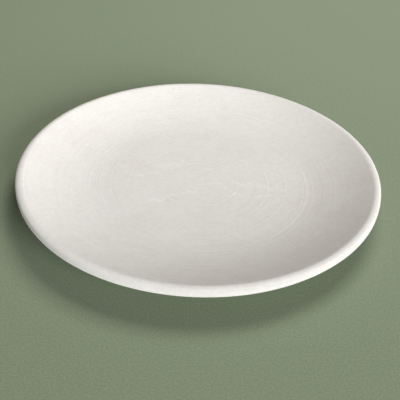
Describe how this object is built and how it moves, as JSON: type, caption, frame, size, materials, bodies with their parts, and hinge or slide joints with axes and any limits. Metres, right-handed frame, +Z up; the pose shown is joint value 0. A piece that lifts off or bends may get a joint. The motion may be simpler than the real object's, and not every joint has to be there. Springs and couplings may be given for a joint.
{
  "type": "plaster plate mould",
  "caption": "Thin round plaster mould with a gently dished face, a rounded lip and a foot ring, for forming a coupe plate.",
  "frame": {"origin": "on the surface that the foot ring stands on, under the middle of the dish", "axes": "+Z up, the axis that every piece is turned about, out of the dish's mouth; X and Y are alike"},
  "size_m": [0.27, 0.27, 0.0244],
  "materials": {
    "face_plaster": "matt warm white pottery plaster, turned and rubbed smooth, with faint concentric lines and pinholes",
    "back_plaster": "matt warm white pottery plaster, scraped, with tool rings, pinholes and a little wear",
    "jute": "open plain weave of loose jute yarn, matt, stiff with plaster"
  },
  "bodies": {
    "root": {"face_coat": "face_plaster", "scrim": "jute", "backing_coat": "back_plaster", "foot_ring": "back_plaster"}
  },
  "joints": []
}
